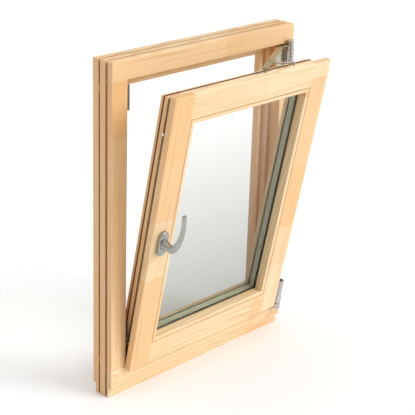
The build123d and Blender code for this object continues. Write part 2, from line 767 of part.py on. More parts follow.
def link_rivet():
    """The rivet that joins the support link to the arm."""
    head = Pos(link_pivot_x, line_y, stay_z + stay_thick + 0.6) * Cylinder(4.0, 1.2)
    return rod_z(link_pivot_x, line_y, link_z, stay_z + stay_thick, stud_radius) + head


def support_link():
    """The short link from the arm down to its foot in the guide rail, drawn in line with the arm."""
    shape = block(link_pivot_x, link_foot_x, line_y - link_width / 2, line_y + link_width / 2,
                  link_z, link_z + link_thick)
    for x in (link_pivot_x, link_foot_x):
        shape += Pos(x, line_y, link_z + link_thick / 2) * Cylinder(link_width / 2, link_thick)
    shape -= rod_z(link_pivot_x, line_y, link_z - 1, link_z + link_thick + 1, stud_radius + running)
    return shape + rod_z(link_foot_x, line_y, stud_low, link_z, stud_radius)


def place_link(shape):
    """Swing the link with the arm, then open it against the arm about its rivet."""
    moved = swung(shape)
    angle = math.radians(stay_swing)
    dx = link_pivot_x - axis_x
    dy = line_y - axis_y
    x = axis_x + dx * math.cos(angle) - dy * math.sin(angle)
    y = axis_y + dx * math.sin(angle) + dy * math.cos(angle)
    return moved.rotate(Axis((x, y, 0), (0, 0, 1)), -link_turn)


socket_z0 = corner_plate_z0
socket_z1 = tilt_height - 8.0
head_half = 5.5
cheek = 3.5
cheek_half = 4.5           # half the cheek's depth
skirt_radius = 11.6        # the wide foot of the band's cover, over the cheeks
skirt_wall = 1.0
skirt_back = 9.5           # its flat back, clear of the frame
skirt_z0 = tilt_height - 4.5
plug_radius = 6.0
band_z0 = tilt_height + 9.0
band_z1 = tilt_height + 66.0
leaf_thick = 2.5
band_screw_heights = [band_z0 + 16.0, band_z0 + 42.0]
band_screw = (1.9, 30.0, 3.4, 2.0)


def corner_bearing():
    """The frame-side lower hinge: plate, web and socket."""
    shape = corner_plate_shape()
    shape += rod_z(axis_x, axis_y, socket_z0, socket_z1, barrel_radius)
    shape += block(axis_x - 5, axis_x + 5, axis_y, room_face, socket_z0, socket_z1)
    shape -= rod_z(axis_x, axis_y, socket_z0 + 2, socket_z1 + 1, pin_radius + 1 + running)
    return drilled(shape, hinge_screw, corner_screws)


def corner_cover():
    """The cover over the lower socket."""
    return split_cap(socket_z0 - 1.5, socket_z1, cap_radius, 5.3, False, True)


def pivot_link():
    """The lower turn pin with the eye that the tilt pin passes through."""
    stem = rod_z(axis_x, axis_y, socket_z0 + 2.3, tilt_height, pin_radius + 1)
    collar = rod_z(axis_x, axis_y, socket_z1 + apart, tilt_height, head_half)
    eye = rod_x(axis_x - head_half, axis_x + head_half, axis_y, tilt_height, 6.0)
    shape = stem + collar + eye
    return shape - rod_x(axis_x - 20, axis_x + 20, axis_y, tilt_height, pin_radius + running)


def tilt_pin():
    """The cross pin pressed into the band's cheeks."""
    reach = head_half + apart + cheek
    return rod_x(axis_x - reach, axis_x + reach, axis_y, tilt_height, pin_radius)


def corner_band():
    """The sash-side lower hinge: two cheeks, a barrel and a leaf screwed to the lip's edge."""
    shape = rod_z(axis_x, axis_y, band_z0, band_z1, barrel_radius)
    for side in (-1, 1):
        x_in = axis_x + side * (head_half + apart)
        x_out = x_in + side * cheek
        shape += block(min(x_in, x_out), max(x_in, x_out), axis_y - cheek_half, axis_y + cheek_half,
                       tilt_height, band_z0 + 3)
        shape += rod_x(min(x_in, x_out), max(x_in, x_out), axis_y, tilt_height, cheek_half)
    reach = head_half + apart
    shape -= block(axis_x - reach, axis_x + reach, axis_y - 12, axis_y + 12, tilt_height - 8, band_z0)
    shape += block(sash_x, sash_x + leaf_thick, sash_front + 2, sash_front + lip_thick, band_z0, band_z1)
    shape += block(sash_x, axis_x, axis_y - 1.5, axis_y + 1.5, band_z0, band_z1)
    shape -= rod_x(axis_x - 20, axis_x + 20, axis_y, tilt_height, pin_radius)
    return drilled(shape, band_screw, corner_band_screws())


def corner_band_screws():
    """Two screws through the leaf into the lip's edge."""
    y = axis_y + 5.5
    return [(sash_x + leaf_thick, y, z, drive_left) for z in band_screw_heights]


def corner_band_cap():
    """The cover over the sash-side barrel, slit for the leaf, with a wide foot over the cheeks."""
    wall_in = barrel_radius + cap_clearance
    z1 = band_z1 + 2.0
    foot_z1 = band_z0 + 4.0
    upper = rod_z(axis_x, axis_y, foot_z1 - 1.0, z1, upper_cap_radius)
    upper = fillet(upper.edges().group_by(Axis.Z)[-1], cap_rounding)
    foot = rod_z(axis_x, axis_y, skirt_z0, foot_z1, skirt_radius)
    foot = fillet(foot.edges().group_by(Axis.Z)[-1], cap_rounding)
    foot -= block(axis_x - 20, axis_x + 20, axis_y + skirt_back, axis_y + 20, 0, z1)
    shape = upper + foot
    shape -= rod_z(axis_x, axis_y, skirt_z0 - 1, z1 - 1.5, wall_in)
    shape -= rod_z(axis_x, axis_y, skirt_z0 - 1, foot_z1 - 0.7, skirt_radius - skirt_wall)
    shape -= block(sash_x, axis_x, axis_y - 1.8, axis_y + 1.8, band_z0 - 0.3, z1 - 1.5)
    return shape - rod_z(axis_x, axis_y, z1 - 2, z1 + 1, plug_radius - 2)


def corner_band_plug():
    """The plug in the top of the cover."""
    z1 = band_z1 + 2.0
    head = rod_z(axis_x, axis_y, z1, z1 + 2.5, plug_radius)
    head = fillet(head.edges().group_by(Axis.Z)[-1], cap_rounding)
    return head + rod_z(axis_x, axis_y, z1 - 1.4, z1, plug_radius - 2)


# ================= handle =================

screw_heights = [handle_z - rosette_screw_pitch / 2, handle_z + rosette_screw_pitch / 2]
handle_screw_radius = 2.5
base_thick = 4.0


def obround(width, length, y0, y1):
    """A rosette blank: straight sides and round ends."""
    sketch = SlotOverall(length, width, rotation=90)
    solid = extrude(Plane.XZ.offset(-y0) * sketch, amount=-(y1 - y0))
    return Pos(handle_x, 0, handle_z) * solid


def rosette_base():
    """The fixing plate under the rosette cover, with the handle's bearing collar."""
    plate = obround(rosette_width - 5, rosette_length - 5, sash_front - base_thick, sash_front)
    collar = rod_y(handle_x, sash_front - rosette_thick + 2, sash_front - base_thick, handle_z, neck_radius + 2)
    shape = plate + collar
    shape -= rod_y(handle_x, sash_front - 20, sash_front + 1, handle_z, neck_radius - 2 + running)
    for z in screw_heights:
        shape -= rod_y(handle_x, sash_front - 20, sash_front + 1, z, handle_screw_radius)
    return shape


def rosette_cover():
    """The visible rosette: a domed obround shell that snaps over the base."""
    y0 = sash_front - rosette_thick
    outer = obround(rosette_width, rosette_length, y0, sash_front)
    rim = outer.edges().filter_by_position(Axis.Y, y0, y0)
    outer = fillet(rim, 2.5)
    shape = outer - obround(rosette_width - 4, rosette_length - 4, y0 + 2, sash_front + 1)
    return shape - rod_y(handle_x, y0 - 1, sash_front, handle_z, neck_radius + 0.4)


def handle_screws():
    """Two machine screws through the rosette base into the gearbox."""
    solids = []
    for z in screw_heights:
        head = rod_y(handle_x, sash_front - base_thick - 1.6, sash_front - base_thick, z, 4.0)
        slot = block(handle_x - 3.5, handle_x + 3.5, sash_front - base_thick - 2, sash_front - base_thick - 0.8,
                     z - 0.5, z + 0.5)
        shank = rod_y(handle_x, sash_front - base_thick, line_y + case_width / 2 - 1, z, handle_screw_radius)
        solids.append(head + shank - slot)
    return Compound(solids)


def lever():
    """The curved lever handle: a round neck that turns up into a tapering grip."""
    y0 = sash_front
    outer = Spline((0, -neck_radius), (14.0, -8.0), (27.0, 10.0), (35.0, 40.0), (36.5, 70.0), (31.5, 105.0))
    inner = Spline((25.0, 105.0), (28.8, 70.0), (25.5, 44.0), (16.0, 20.0), (7.0, 9.0), (0, neck_radius))
    start = Line((0, neck_radius), (0, -neck_radius))
    tip = Line((31.5, 105.0), (25.0, 105.0))
    face = make_face([outer, tip, inner, start])
    grip = extrude(face, amount=lever_width / 2, both=True)
    rims = [e for e in grip.edges() if abs(abs(e.center().Z) - lever_width / 2) < 0.01 and e.length > 20]
    grip = fillet(rims, 3.0)
    # the sketch's own X is the way out of the sash and its Y is up
    placed = Plane((handle_x, y0 - neck_reach + 8.0, handle_z), x_dir=(0, -1, 0), z_dir=(-1, 0, 0)) * grip
    neck_back = y0 - rosette_thick - neck_gap
    neck = rod_y(handle_x, y0 - neck_reach, neck_back, handle_z, neck_radius)
    neck = fillet(neck.edges().filter_by_position(Axis.Y, y0 - neck_reach, y0 - neck_reach), 4.0)
    foot = Cone(neck_base_radius, neck_radius - 0.1, neck_taper)
    neck += Pos(handle_x, neck_back - neck_taper / 2, handle_z) * Rot(90, 0, 0) * foot
    ring_y0 = y0 - rosette_thick - ring_from_rosette
    neck -= (rod_y(handle_x, ring_y0 - ring_size, ring_y0, handle_z, neck_base_radius + 1)
             - rod_y(handle_x, ring_y0 - ring_size, ring_y0, handle_z, neck_base_radius - ring_size))
    journal = rod_y(handle_x, y0 - rosette_thick, y0 - 0.4, handle_z, neck_radius - 2)
    shape = placed + neck + journal
    hole = block(handle_x - spindle_side / 2, handle_x + spindle_side / 2, y0 - 20, y0 + 1,
                 handle_z - spindle_side / 2, handle_z + spindle_side / 2)
    return shape - hole


def spindle():
    """The square bar that joins the lever to the pinion."""
    half = spindle_side / 2
    return block(handle_x - half, handle_x + half, sash_front - 20, line_y + case_width / 2,
                 handle_z - half, handle_z + half)


# ================= write every node =================

fixed = frame_members()
fixed["drip_rail"] = drip_rail()
fixed["striker_side_upper"] = side_striker(side_cams[0], striker_heights[0])
fixed["striker_side_lower"] = side_striker(side_cams[1], striker_heights[1])
fixed["tilt_bearing"] = tilt_bearing()
fixed["stay_bearing"] = stay_bearing()
fixed["stay_bearing_cover"] = stay_cover()
fixed["corner_bearing"] = corner_bearing()
fixed["corner_bearing_cover"] = corner_cover()
fixed["hinge_screws"] = Compound(screws(hinge_screw, stay_screws + corner_screws))
frame_screw_places = side_striker_screws() + tilt_bearing_screws()
fixed["striker_screws"] = Compound(screws(small_screw, frame_screw_places))
fixed["stay_pin"] = stay_pin()
fixed["pivot_link"] = pivot_link()

on_sash = sash_members()
on_sash.update(glazing_beads())
on_sash.update(glazing())
on_sash["weather_gasket"] = weather_gasket()
on_sash["side_face_plate"] = side_plate()
on_sash["stay_guide_plate"] = top_plate()
on_sash["bottom_face_plate"] = bottom_plate()
on_sash["corner_drive_upper"] = corner_drive(True)
on_sash["corner_drive_lower"] = corner_drive(False)
on_sash["gearbox_case"] = gearbox_case()
on_sash["drive_pinion"] = drive_pinion()
on_sash["side_drive_rod"] = side_rod()
on_sash["top_drive_rod"] = top_rod()
on_sash["bottom_drive_rod"] = bottom_rod()
on_sash["tilt_pin"] = tilt_pin()
on_sash["corner_band"] = corner_band()
on_sash["corner_band_cap"] = corner_band_cap()
on_sash["corner_band_plug"] = corner_band_plug()
on_sash["corner_band_screws"] = Compound(screws(band_screw, corner_band_screws()))
plate_screw_places = side_plate_screws() + top_plate_screws() + bottom_plate_screws()
on_sash["face_plate_screws"] = Compound(screws(small_screw, plate_screw_places))
on_sash["rosette_base"] = rosette_base()
on_sash["rosette_cover"] = rosette_cover()
on_sash["handle_screws"] = handle_screws()
on_sash["handle_lever"] = lever()
on_sash["handle_spindle"] = spindle()

on_stay = {"stay_arm": stay_arm(), "stay_arm_cap": stay_arm_cap(),
           "stay_stud": stay_stud(), "link_rivet": link_rivet()}

for name, shape in fixed.items():
    save(name, shape)
for name, shape in on_sash.items():
    save(name, tilted(shape))
for name, shape in on_stay.items():
    save(name, swung(shape))
save("support_link", place_link(support_link()))

print("stay swing", round(stay_swing, 4), "link turn", round(link_turn, 4), "link length", round(link_length, 3))
print("arm end x", round(end_x_closed, 2), round(end_x_rest, 2), "foot x", round(link_foot_x, 2))
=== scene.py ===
import json
import math

import bpy
from mathutils import Matrix, Vector


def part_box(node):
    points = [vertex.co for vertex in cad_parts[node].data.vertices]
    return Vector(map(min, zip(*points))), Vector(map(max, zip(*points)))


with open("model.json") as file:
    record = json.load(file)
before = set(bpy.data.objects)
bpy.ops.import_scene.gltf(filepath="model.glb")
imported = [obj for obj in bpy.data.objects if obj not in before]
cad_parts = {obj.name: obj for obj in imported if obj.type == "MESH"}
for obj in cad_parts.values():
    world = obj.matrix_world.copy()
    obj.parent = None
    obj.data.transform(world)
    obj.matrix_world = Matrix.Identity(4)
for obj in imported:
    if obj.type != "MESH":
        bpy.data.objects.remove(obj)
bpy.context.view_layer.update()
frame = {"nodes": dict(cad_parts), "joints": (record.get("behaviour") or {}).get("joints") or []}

# ---- The outer frame ----
# Four coped rails and stiles of laminated pine, three lamellas deep, each finger-jointed
# from short blocks, clear-varnished. The rails run through and the stiles stand between them.
frame_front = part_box("frame_left_stile")[0][1]
tilt_joint = next(joint for joint in frame["joints"] if joint["name"] == "tilt")
tilt_angle = math.radians(-tilt_joint["range_deg"][0])
sash_pivot = tilt_joint["pos_m"]
pine_early = (0.87, 0.675, 0.405, 1.0)
pine_late = (0.64, 0.33, 0.12, 1.0)
pine_warm = (0.84, 0.52, 0.235, 1.0)
pine_pale = (0.92, 0.76, 0.50, 1.0)
# The last two pine colours are painted shade: a warm brown for the boards' side faces and a near-black for
# grooves and crevices.
pine_painted_side_shade = (0.74, 0.42, 0.18, 1.0)
pine_painted_hollow_shade = (0.26, 0.105, 0.032, 1.0)
lamella = 0.0232
face_skin = 0.001
layer_shift = 7.31
block_unevenness = 0.85
glue_width = 0.008
heart_spread = 0.16
heart_range = 0.13
heart_nearest = 0.012
grain_slope = 0.09
ring_waver = 0.011
ring_gap = 0.0056
late_sharpness = 2.6
swirl_stretch = (22.0, 22.0, 4.5)
fibre_stretch = (620.0, 620.0, 9.0)
streak_stretch = (60.0, 60.0, 2.4)
line_stretch = (210.0, 210.0, 3.0)
painted_shade_reach = 0.011
quarter_turn = math.radians(90.0)


def wire(tree, value, socket):
    """Feed a socket from another socket, or set it to a plain value."""
    if isinstance(value, bpy.types.NodeSocket):
        tree.links.new(value, socket)
    elif value is not None:
        socket.default_value = value


def work_out(tree, operation, first, second=None, third=None):
    """One step of arithmetic on values that change over the surface."""
    node = tree.nodes.new("ShaderNodeMath")
    node.operation = operation
    for socket, value in zip(node.inputs, (first, second, third)):
        wire(tree, value, socket)
    return node.outputs[0]


def stretch(tree, place, amounts):
    """The same place with each direction scaled, so that a speckle becomes a streak."""
    node = tree.nodes.new("ShaderNodeVectorMath")
    node.operation = "MULTIPLY"
    tree.links.new(place, node.inputs[0])
    node.inputs[1].default_value = amounts
    return node.outputs[0]


def speckle(tree, place, scale, detail=2.0, roughness=0.5):
    """Soft noise between 0 and 1."""
    node = tree.nodes.new("ShaderNodeTexNoise")
    wire(tree, place, node.inputs["Vector"])
    node.inputs["Scale"].default_value = scale
    node.inputs["Detail"].default_value = detail
    node.inputs["Roughness"].default_value = roughness
    return node.outputs["Fac"]


def between(tree, amount, first, second):
    """Mix two colours."""
    node = tree.nodes.new("ShaderNodeMix")
    node.data_type = "RGBA"
    wire(tree, amount, node.inputs[0])
    wire(tree, first, node.inputs[6])
    wire(tree, second, node.inputs[7])
    return node.outputs[2]


def ramp(tree, value, low, high, from_value=0.0, to_value=1.0):
    """Carry a value from one range to another, with soft ends."""
    node = tree.nodes.new("ShaderNodeMapRange")
    node.interpolation_type = "SMOOTHSTEP"
    wire(tree, value, node.inputs["Value"])
    node.inputs["From Min"].default_value = low
    node.inputs["From Max"].default_value = high
    node.inputs["To Min"].default_value = from_value
    node.inputs["To Max"].default_value = to_value
    return node.outputs["Result"]


def new_effect(name, takes, gives):
    """An empty shader group with its named inputs and outputs, and its two end nodes."""
    group = bpy.data.node_groups.new(name, "ShaderNodeTree")
    for label, kind in takes:
        group.interface.new_socket(name=label, in_out="INPUT", socket_type=kind)
    for label, kind in gives:
        group.interface.new_socket(name=label, in_out="OUTPUT", socket_type=kind)
    return group, group.nodes.new("NodeGroupInput").outputs, group.nodes.new("NodeGroupOutput").inputs


def make_pine_grain():
    """Growth rings, fibres and finger-jointed blocks, with painted shade on the side faces and in the
    hollows; the board lies along Z with its face at Y 0.
    """
    group, given, result = new_effect(
        "pine grain and painted shade",
        [("Place", "NodeSocketVector"), ("Facing", "NodeSocketVector"),
         ("Board", "NodeSocketFloat"), ("Block Length", "NodeSocketFloat"),
         ("Painted Side Shade", "NodeSocketFloat"), ("Warmth", "NodeSocketFloat")],
        [("Colour", "NodeSocketColor"), ("Roughness", "NodeSocketFloat"), ("Relief", "NodeSocketFloat")])
    parts = group.nodes.new("ShaderNodeSeparateXYZ")
    group.links.new(given["Place"], parts.inputs[0])
    across, depth, along = parts.outputs
    layer = work_out(group, "FLOOR", work_out(group, "DIVIDE", depth, lamella))
    order = work_out(group, "ADD", work_out(group, "MULTIPLY", layer, layer_shift), given["Board"])
    count = work_out(group, "ADD", work_out(group, "DIVIDE", along, given["Block Length"]), order)
    blocks = group.nodes.new("ShaderNodeTexVoronoi")
    blocks.voronoi_dimensions = "1D"
    blocks.inputs["Randomness"].default_value = block_unevenness
    blocks.inputs["Scale"].default_value = 1.0
    group.links.new(count, blocks.inputs["W"])
    joint = group.nodes.new("ShaderNodeTexVoronoi")
    joint.voronoi_dimensions = "1D"
    joint.feature = "DISTANCE_TO_EDGE"
    joint.inputs["Randomness"].default_value = block_unevenness
    joint.inputs["Scale"].default_value = 1.0
    group.links.new(count, joint.inputs["W"])
    glue = ramp(group, joint.outputs["Distance"], 0.0, glue_width, 1.0, 0.0)
    chance = group.nodes.new("ShaderNodeSeparateColor")
    group.links.new(blocks.outputs["Color"], chance.inputs[0])
    side_chance, heart_chance, tone_chance = chance.outputs

    heart_across = work_out(group, "MULTIPLY_ADD", side_chance, heart_spread, -heart_spread / 2)
    heart_depth = work_out(group, "MULTIPLY_ADD", heart_chance, heart_range, heart_nearest)
    sideways = work_out(group, "ABSOLUTE", work_out(group, "SUBTRACT", across, heart_across))
    inwards = work_out(group, "ABSOLUTE", work_out(group, "SUBTRACT", depth, heart_depth))
    sideways_squared = work_out(group, "POWER", sideways, 2.0)
    inwards_squared = work_out(group, "POWER", inwards, 2.0)
    radius = work_out(group, "SQRT", work_out(group, "ADD", sideways_squared, inwards_squared))
    slope = work_out(group, "MULTIPLY_ADD", tone_chance, grain_slope, -grain_slope / 2)
    lean = work_out(group, "MULTIPLY", along, slope)
    swirl = speckle(group, stretch(group, given["Place"], swirl_stretch), 1.0)
    waver = work_out(group, "MULTIPLY_ADD", swirl, ring_waver, -ring_waver / 2)
    rings = work_out(group, "ADD", work_out(group, "ADD", radius, lean), waver)
    turn = work_out(group, "FRACT", work_out(group, "DIVIDE", rings, ring_gap))
    ring_end = ramp(group, turn, 0.88, 1.0, 1.0, 0.0)
    late = work_out(group, "MULTIPLY", work_out(group, "POWER", turn, late_sharpness), ring_end)
    fibre = speckle(group, stretch(group, given["Place"], fibre_stretch), 1.0, 3.0, 0.6)
    streak = speckle(group, stretch(group, given["Place"], streak_stretch), 1.0, 2.0, 0.55)

    tone = work_out(group, "ADD", ramp(group, tone_chance, 0.2, 0.95), given["Warmth"])
    base = between(group, tone, pine_early, pine_warm)
    base = between(group, ramp(group, side_chance, 0.55, 0.95, 0.0, 0.55), base, pine_pale)
    base = between(group, ramp(group, streak, 0.5, 0.8, 0.0, 0.5), base, pine_warm)
    lines = speckle(group, stretch(group, given["Place"], line_stretch), 1.0, 2.0, 0.5)
    base = between(group, ramp(group, lines, 0.52, 0.72, 0.0, 0.42), base, pine_late)
    ringed = between(group, work_out(group, "MULTIPLY", late, 0.72), base, pine_late)
    fibred = between(group, ramp(group, fibre, 0.35, 0.85, 0.0, 0.16), ringed, pine_late)
    jointed = between(group, work_out(group, "MULTIPLY", glue, 0.12), fibred, pine_late)
    facing = group.nodes.new("ShaderNodeSeparateXYZ")
    group.links.new(given["Facing"], facing.inputs[0])
    sawn_end = ramp(group, work_out(group, "ABSOLUTE", facing.outputs[2]), 0.8, 0.98, 0.0, 0.42)
    ended = between(group, sawn_end, jointed, pine_late)
    # Painted shade: faces turned to the board's sides darken towards a warm brown, as much as the
    # side-shade input asks.
    edge = ramp(group, work_out(group, "ABSOLUTE", facing.outputs[0]), 0.75, 0.95)
    edged = between(group, work_out(group, "MULTIPLY", edge, given["Painted Side Shade"]), ended, pine_painted_side_shade)
    # Painted shade: grooves, crevices and recesses within the board darken towards near-black, from the
    # board's own ambient occlusion.
    open_sky = group.nodes.new("ShaderNodeAmbientOcclusion")
    open_sky.only_local = True
    open_sky.samples = 8
    open_sky.inputs["Distance"].default_value = painted_shade_reach
    painted_hollow_shade = ramp(group, open_sky.outputs["AO"], 0.15, 0.72, 0.85, 0.0)
    group.links.new(between(group, painted_hollow_shade, edged, pine_painted_hollow_shade), result["Colour"])
    group.links.new(work_out(group, "MULTIPLY_ADD", fibre, 0.18, 0.34), result["Roughness"])
    group.links.new(work_out(group, "ADD", work_out(group, "MULTIPLY", fibre, 0.5), late), result["Relief"])
    return group


pine_grain = make_pine_grain()


def pine(name, board, flat=False, tilted=False, block_length=0.21, front=frame_front, warmth=0.0,
         painted_side_shade=0.0):
    """Varnished pine for one board, with painted shade on its side faces and in its hollows; a flat board
    runs left to right, and the sash's boards lean with it.
    """
    material = bpy.data.materials.new(name)
    material.use_nodes = True
    tree = material.node_tree
    shader = tree.nodes["Principled BSDF"]
    lean = -tilt_angle if tilted else 0.0
    turn = (lean, quarter_turn if flat else 0.0, 0.0)
    pivot = Vector(sash_pivot)
    shift = pivot - Matrix.Rotation(lean, 3, "X") @ pivot
    shift.y -= front - face_skin
    if flat:
        shift = Matrix.Rotation(quarter_turn, 3, "Y") @ shift
    spot = tree.nodes.new("ShaderNodeTexCoord")
    moved = tree.nodes.new("ShaderNodeMapping")
    moved.inputs["Rotation"].default_value = turn
    moved.inputs["Location"].default_value = shift
    tree.links.new(spot.outputs["Object"], moved.inputs["Vector"])
    turned = tree.nodes.new("ShaderNodeMapping")
    turned.inputs["Rotation"].default_value = turn
    tree.links.new(spot.outputs["Normal"], turned.inputs["Vector"])
    grain = tree.nodes.new("ShaderNodeGroup")
    grain.node_tree = pine_grain
    tree.links.new(moved.outputs[0], grain.inputs["Place"])
    tree.links.new(turned.outputs[0], grain.inputs["Facing"])
    grain.inputs["Board"].default_value = board
    grain.inputs["Block Length"].default_value = block_length
    grain.inputs["Warmth"].default_value = warmth
    grain.inputs["Painted Side Shade"].default_value = painted_side_shade
    tree.links.new(grain.outputs["Colour"], shader.inputs["Base Color"])
    tree.links.new(grain.outputs["Roughness"], shader.inputs["Roughness"])
    bump = tree.nodes.new("ShaderNodeBump")
    bump.inputs["Strength"].default_value = 0.12
    bump.inputs["Distance"].default_value = 0.0004
    tree.links.new(grain.outputs["Relief"], bump.inputs["Height"])
    tree.links.new(bump.outputs[0], shader.inputs["Normal"])
    shader.inputs["Coat Weight"].default_value = 0.25
    shader.inputs["Coat Roughness"].default_value = 0.28
    return material


def dress(names, material):
    """Give CAD pieces a material."""
    for name in names:
        frame["nodes"][name].material_slots[0].material = material


dress(["frame_top_rail"], pine("pine, frame top rail", 2.2, flat=True, block_length=0.24, warmth=0.15))
dress(["frame_bottom_rail"], pine("pine, frame bottom rail", 11.7, flat=True, block_length=0.26))
# The stiles take painted shade on their side faces, the right stile most.
dress(["frame_left_stile"], pine("pine, frame left stile", 23.4, warmth=0.1, painted_side_shade=0.85))
dress(["frame_right_stile"], pine("pine, frame right stile", 31.9, warmth=0.3, painted_side_shade=1.0))

# ---- The drip rail ----
# An anodised aluminium channel screwed on the weather side of the bottom rail; it carries the
# rain off the stop.


def make_metal_wear():
    """Faint cloudiness and fine rubbed marks for plated and anodised metal."""
    group, given, result = new_effect(
        "plated metal",
        [("Colour", "NodeSocketColor"), ("Tarnish", "NodeSocketColor"), ("Amount", "NodeSocketFloat"),
         ("Roughness", "NodeSocketFloat")],
        [("Colour", "NodeSocketColor"), ("Roughness", "NodeSocketFloat"), ("Relief", "NodeSocketFloat")])
    place = group.nodes.new("ShaderNodeTexCoord").outputs["Object"]
    cloud = speckle(group, place, 55.0, 3.0)
    grit = speckle(group, place, 900.0, 2.0)
    amount = work_out(group, "MULTIPLY", ramp(group, cloud, 0.38, 0.68), given["Amount"])
    group.links.new(between(group, amount, given["Colour"], given["Tarnish"]), result["Colour"])
    uneven = work_out(group, "MULTIPLY_ADD", cloud, 0.16, -0.08)
    group.links.new(work_out(group, "ADD", given["Roughness"], uneven), result["Roughness"])
    group.links.new(grit, result["Relief"])
    return group


metal_wear = make_metal_wear()


def plated(name, colour, tarnish, amount, roughness, metallic=1.0, bump_depth=0.00005):
    """A metal or metal-coloured finish with faint wear."""
    material = bpy.data.materials.new(name)
    material.use_nodes = True
    tree = material.node_tree
    shader = tree.nodes["Principled BSDF"]
    wear = tree.nodes.new("ShaderNodeGroup")
    wear.node_tree = metal_wear
    wear.inputs["Colour"].default_value = (*colour, 1.0)
    wear.inputs["Tarnish"].default_value = (*tarnish, 1.0)
    wear.inputs["Amount"].default_value = amount
    wear.inputs["Roughness"].default_value = roughness
    tree.links.new(wear.outputs["Colour"], shader.inputs["Base Color"])
    tree.links.new(wear.outputs["Roughness"], shader.inputs["Roughness"])
    bump = tree.nodes.new("ShaderNodeBump")
    bump.inputs["Strength"].default_value = 0.25
    bump.inputs["Distance"].default_value = bump_depth
    tree.links.new(wear.outputs["Relief"], bump.inputs["Height"])
    tree.links.new(bump.outputs[0], shader.inputs["Normal"])
    shader.inputs["Metallic"].default_value = metallic
    return material


dress(["drip_rail"], plated("anodised aluminium", (0.68, 0.68, 0.66), (0.63, 0.63, 0.61), 0.3, 0.32))

# ---- The keepers and the tilt bearing ----
# Dark zinc die-castings screwed in the frame's rebate: two on the handle side, and the bearing
# that takes the sash's lower corner while it is tilted.
zinc_plate = plated("zinc-plated steel", (0.62, 0.61, 0.55), (0.56, 0.53, 0.40), 0.6, 0.34)
dress(["striker_side_upper", "striker_side_lower", "tilt_bearing"],
      plated("dark die-cast zinc", (0.20, 0.185, 0.125), (0.13, 0.12, 0.08), 0.7, 0.5, metallic=0.4))
dress(["striker_screws", "hinge_screws"], zinc_plate)

# ---- The frame-side hinges ----
# Above, an angle plate with a barrel for the turn pin; below, the corner bearing that carries
# the sash's weight. Silver covers clip over both barrels.
silver_cover = plated("silver cover", (0.56, 0.545, 0.545), (0.48, 0.47, 0.47), 0.4, 0.30, metallic=0.9)
dress(["stay_bearing", "stay_pin", "corner_bearing", "pivot_link"], zinc_plate)
dress(["stay_bearing_cover", "corner_bearing_cover"], silver_cover)

# ---- The sash ----
# Four more laminated pine members. The stiles run through and the rails stand between them;
# the room-side lip laps over the frame when the sash is shut.
lip_gap = 0.004
lip_thickness = 0.018
sash_front = frame_front - lip_gap - lip_thickness
sash_boards = (("sash_left_stile", 41.3, False, 0.75), ("sash_right_stile", 57.8, False, 0.0),
               ("sash_top_rail", 63.2, True, -0.2), ("sash_bottom_rail", 78.1, True, 0.1))
# The sash's stiles take painted shade on their side faces; its rails take none.
for name, board, flat, warmth in sash_boards:
    dress([name], pine("pine, " + name.replace("_", " "), board, flat=flat, tilted=True, block_length=0.19,
                       front=sash_front, warmth=warmth, painted_side_shade=0.0 if flat else 0.6))

# ---- The glazing unit ----
# Two panes of clear float glass on an aluminium spacer, sealed at the edge with dark sealant,
# stood on plastic setting blocks between two strips of glazing gasket.
# The panes' colour at the foot is painted shade; at the head it is clear.
glass_painted_shade_foot = (0.71, 0.72, 0.70, 1.0)
glass_head = (1.0, 1.0, 0.99, 1.0)
glass_refraction = 1.2
lamp_tint = (0.93, 0.94, 0.91, 1.0)


def clear_glass():
    """Float glass, clear through its faces, with painted shade: its colour greys from its head down to its
    foot.
    """
    material = bpy.data.materials.new("clear float glass")
    material.use_nodes = True
    tree = material.node_tree
    shader = tree.nodes["Principled BSDF"]
    parts = tree.nodes.new("ShaderNodeSeparateXYZ")
    tree.links.new(tree.nodes.new("ShaderNodeTexCoord").outputs["Object"], parts.inputs[0])
    low, high = (corner[2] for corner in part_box("inner_pane"))
    height = work_out(tree, "DIVIDE", work_out(tree, "SUBTRACT", parts.outputs[2], low), high - low)
    # Painted shade: the glass colour greys from top to foot.
    tree.links.new(between(tree, height, glass_painted_shade_foot, glass_head), shader.inputs["Base Color"])
    shader.inputs["Roughness"].default_value = 0.0
    shader.inputs["IOR"].default_value = glass_refraction
    shader.inputs["Specular IOR Level"].default_value = 0.5
    shader.inputs["Transmission Weight"].default_value = 1.0
    pass_lamps = tree.nodes.new("ShaderNodeBsdfTransparent")
    pass_lamps.inputs["Color"].default_value = lamp_tint
    mixed = tree.nodes.new("ShaderNodeMixShader")
    tree.links.new(tree.nodes.new("ShaderNodeLightPath").outputs["Is Shadow Ray"], mixed.inputs[0])
    tree.links.new(shader.outputs[0], mixed.inputs[1])
    tree.links.new(pass_lamps.outputs[0], mixed.inputs[2])
    tree.links.new(mixed.outputs[0], tree.nodes["Material Output"].inputs["Surface"])
    return material


def rubber(name, colour, roughness=0.62):
    """Extruded rubber or sealant with a slightly dusty skin."""
    return plated(name, colour, tuple(1.5 * part for part in colour), 0.5, roughness, metallic=0.0,
                  bump_depth=0.0001)


dress(["inner_pane", "outer_pane"], clear_glass())
dress(["spacer_bar"],
      plated("spacer aluminium", (0.52, 0.51, 0.38), (0.42, 0.41, 0.30), 0.3, 0.5, metallic=0.25))
dress(["edge_seal"], rubber("edge sealant", (0.06, 0.055, 0.03)))
dress(["inner_gasket"], rubber("dark glazing gasket", (0.055, 0.05, 0.025)))
dress(["outer_gasket"], rubber("grey-green glazing gasket", (0.34, 0.34, 0.22)))
dress(["setting_blocks"], rubber("setting block plastic", (0.05, 0.11, 0.25), 0.45))

# ---- The glazing beads ----
# Mitred pine strips with a rounded inner edge that hold the glass from the room side.
for name, board, flat in (("bead_left", 83.5, False), ("bead_right", 94.6, False),
                          ("bead_top", 101.9, True), ("bead_bottom", 117.3, True)):
    dress([name], pine("pine, " + name.replace("_", " "), board, flat=flat, tilted=True,
                       block_length=0.6, front=sash_front))

# ---- The weather gasket ----
# A brown lip seal pressed in the sash's step all round.
dress(["weather_gasket"], rubber("brown weather gasket", (0.11, 0.042, 0.018)))
